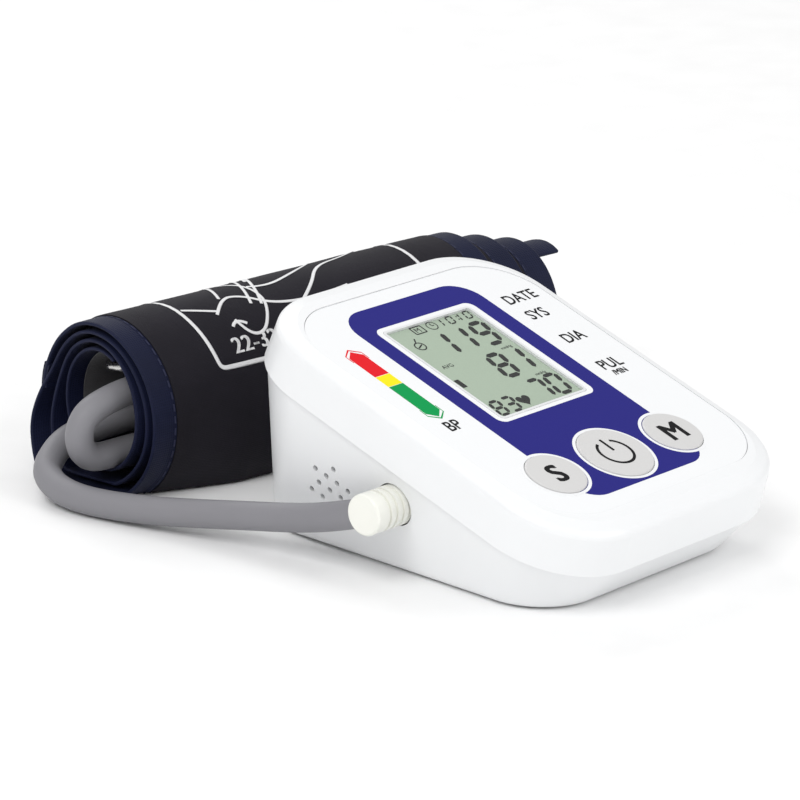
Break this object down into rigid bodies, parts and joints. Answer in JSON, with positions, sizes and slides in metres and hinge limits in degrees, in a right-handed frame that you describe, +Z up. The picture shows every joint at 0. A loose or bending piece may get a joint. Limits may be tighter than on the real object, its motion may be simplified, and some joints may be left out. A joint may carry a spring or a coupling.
{
  "type": "upper arm blood pressure monitor",
  "caption": "Wedge-shaped table monitor with display and push buttons, joined by an elbow plug and air hose to a rolled upper arm cuff.",
  "frame": {"origin": "centre of the monitor's base, on the table it stands on", "axes": "+X to the right of someone reading the display, +Y away from the reader, +Z up"},
  "size_m": [0.19, 0.1922, 0.0619],
  "materials": {
    "white_shell": "moulded white ABS, satin gloss",
    "blue_print": "printed polycarbonate face film",
    "silver_trim": "light grey moulded trim",
    "clear_window": "clear acrylic",
    "lcd_glass": "grey green liquid crystal cell",
    "inner_plastic": "natural moulded plastic",
    "black_rubber": "black rubber",
    "grey_rubber": "grey silicone rubber",
    "circuit_board": "green glass fibre board",
    "switch_black": "black moulded plastic",
    "steel": "nickel plated steel",
    "button_grey": "satin light grey",
    "cell_sleeve": "sleeved alkaline cells",
    "buzzer_brass": "brass disc",
    "motor_steel": "zinc plated can",
    "sensor_white": "white ceramic case",
    "ivory_plug": "ivory moulded plastic",
    "hose_grey": "matt grey tubing",
    "cuff_cloth": "fine woven nylon, near black",
    "bladder_rubber": "thin rubber sheet",
    "binding_tape": "navy binding tape",
    "hook_fabric": "hook fastener",
    "label_cloth": "woven label"
  },
  "bodies": {
    "monitor": {"top_housing": "white_shell", "bottom_housing": "white_shell", "face_plate": "blue_print", "display_bezel": "silver_trim", "display_window": "clear_window", "lcd_glass": "lcd_glass", "lcd_holder": "inner_plastic", "connector_strips": "black_rubber", "main_board": "circuit_board", "tact_switches": "switch_black", "board_screws": "steel", "housing_screws": "steel", "rubber_feet": "grey_rubber", "battery_cells": "cell_sleeve", "battery_contacts": "steel", "battery_springs": "steel", "air_jack": "inner_plastic", "buzzer": "buzzer_brass", "power_inlet": "switch_black", "pump_head": "inner_plastic", "pump_motor": "motor_steel", "pump_saddle": "black_rubber", "air_manifold": "inner_plastic", "air_valve": "motor_steel", "pressure_sensor": "sensor_white", "jack_tube": "grey_rubber", "sensor_tube": "grey_rubber", "pump_tube": "grey_rubber", "valve_tube": "grey_rubber"},
    "power_key": {"power_button": "button_grey", "power_stem": "inner_plastic"},
    "set_key": {"set_button": "button_grey", "set_stem": "inner_plastic"},
    "memory_key": {"memory_button": "button_grey", "memory_stem": "inner_plastic"},
    "motor_rotor": {"motor_shaft": "steel"},
    "valve_rod": {"valve_plunger": "steel"},
    "door": {"battery_door": "white_shell"},
    "cuff_set": {"elbow_plug": "ivory_plug", "plug_seal": "black_rubber", "air_hose": "hose_grey", "bladder_port": "inner_plastic", "cuff_cover": "cuff_cloth", "cuff_bladder": "bladder_rubber", "left_binding": "binding_tape", "right_binding": "binding_tape", "tail_bar": "steel", "closure_patch": "hook_fabric", "size_label": "label_cloth"}
  },
  "joints": [
    {"name": "power_press", "type": "slide", "parent": "monitor", "child": "power_key", "axis": [0, -0.3107, 0.9505], "range_m": [-0.0008, 0], "stiffness_N_per_m": 300, "springref_m": 0.001},
    {"name": "set_press", "type": "slide", "parent": "monitor", "child": "set_key", "axis": [0, -0.3107, 0.9505], "range_m": [-0.0008, 0], "stiffness_N_per_m": 300, "springref_m": 0.001},
    {"name": "memory_press", "type": "slide", "parent": "monitor", "child": "memory_key", "axis": [0, -0.3107, 0.9505], "range_m": [-0.0008, 0], "stiffness_N_per_m": 300, "springref_m": 0.001},
    {"name": "motor_spin", "type": "hinge", "parent": "monitor", "child": "motor_rotor", "pos_m": [0, 0.0395, 0.0305], "axis": [1, 0, 0], "continuous": true},
    {"name": "valve_stroke", "type": "slide", "parent": "monitor", "child": "valve_rod", "axis": [1, 0, 0], "range_m": [-0.0006, 0], "stiffness_N_per_m": 200, "springref_m": 0.001},
    {"name": "door_release", "type": "slide", "parent": "monitor", "child": "door", "axis": [0, 0, -1], "range_m": [0, 0.03]},
    {"name": "plug_pull", "type": "slide", "parent": "monitor", "child": "cuff_set", "axis": [-1, 0, 0], "range_m": [0, 0.02]}
  ]
}
